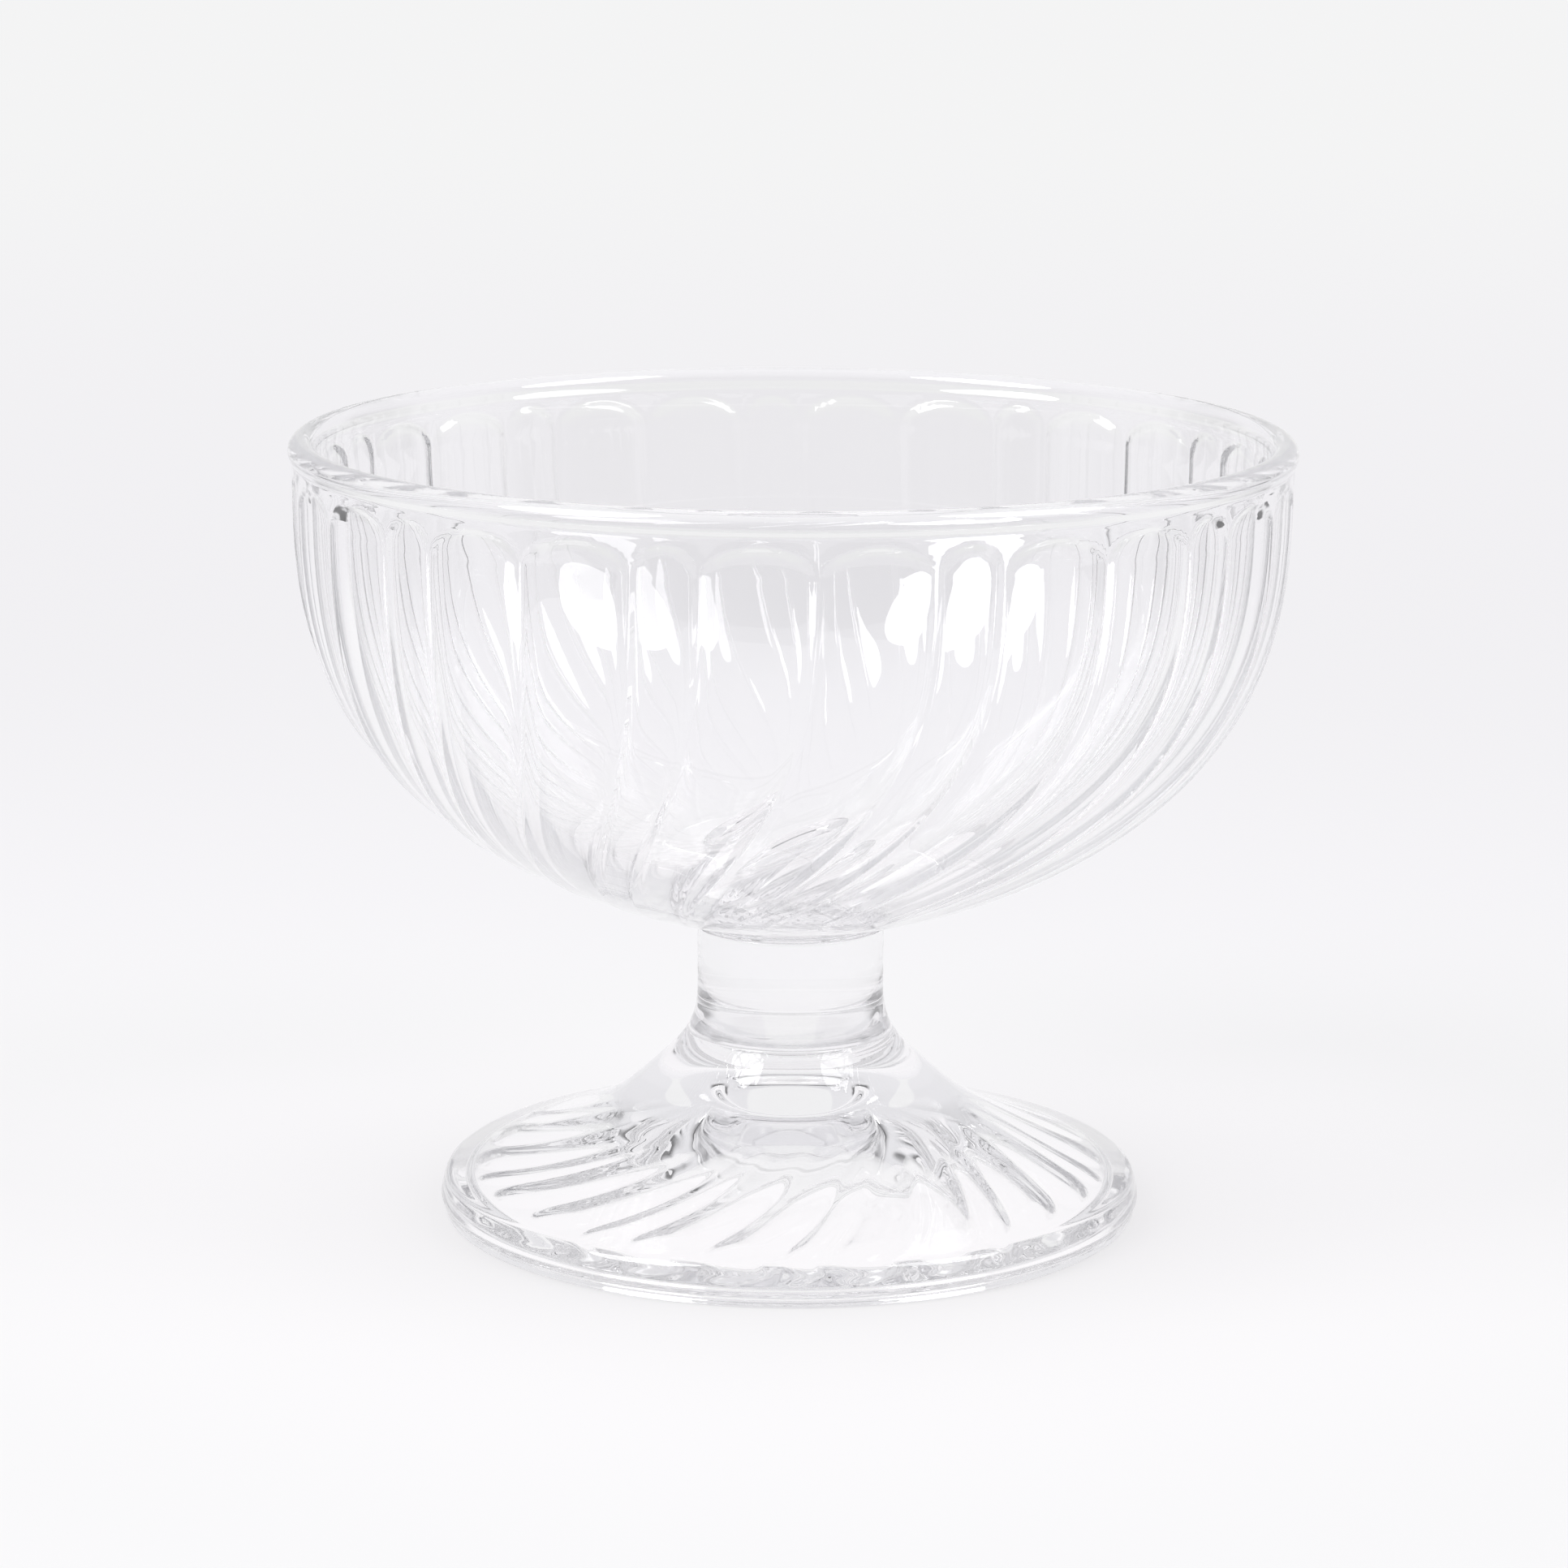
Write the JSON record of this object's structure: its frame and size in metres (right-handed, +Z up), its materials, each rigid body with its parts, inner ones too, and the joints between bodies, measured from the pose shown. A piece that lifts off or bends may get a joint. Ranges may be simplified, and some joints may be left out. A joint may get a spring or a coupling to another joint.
{
  "type": "sundae glass",
  "caption": "Clear glass sundae dish: round open bowl with swirled outside flutes and a beaded rim, on a short stem and a flared round foot.",
  "frame": {"origin": "centre of the foot on the surface it stands on", "axes": "+Z up along the glass's axis, -Y towards the viewer of the picture, +X to the viewer's right"},
  "size_m": [0.105, 0.105, 0.0834],
  "materials": {
    "clear_glass": "polished"
  },
  "bodies": {
    "root": {"bowl": "clear_glass", "stem": "clear_glass", "foot": "clear_glass"}
  },
  "joints": []
}
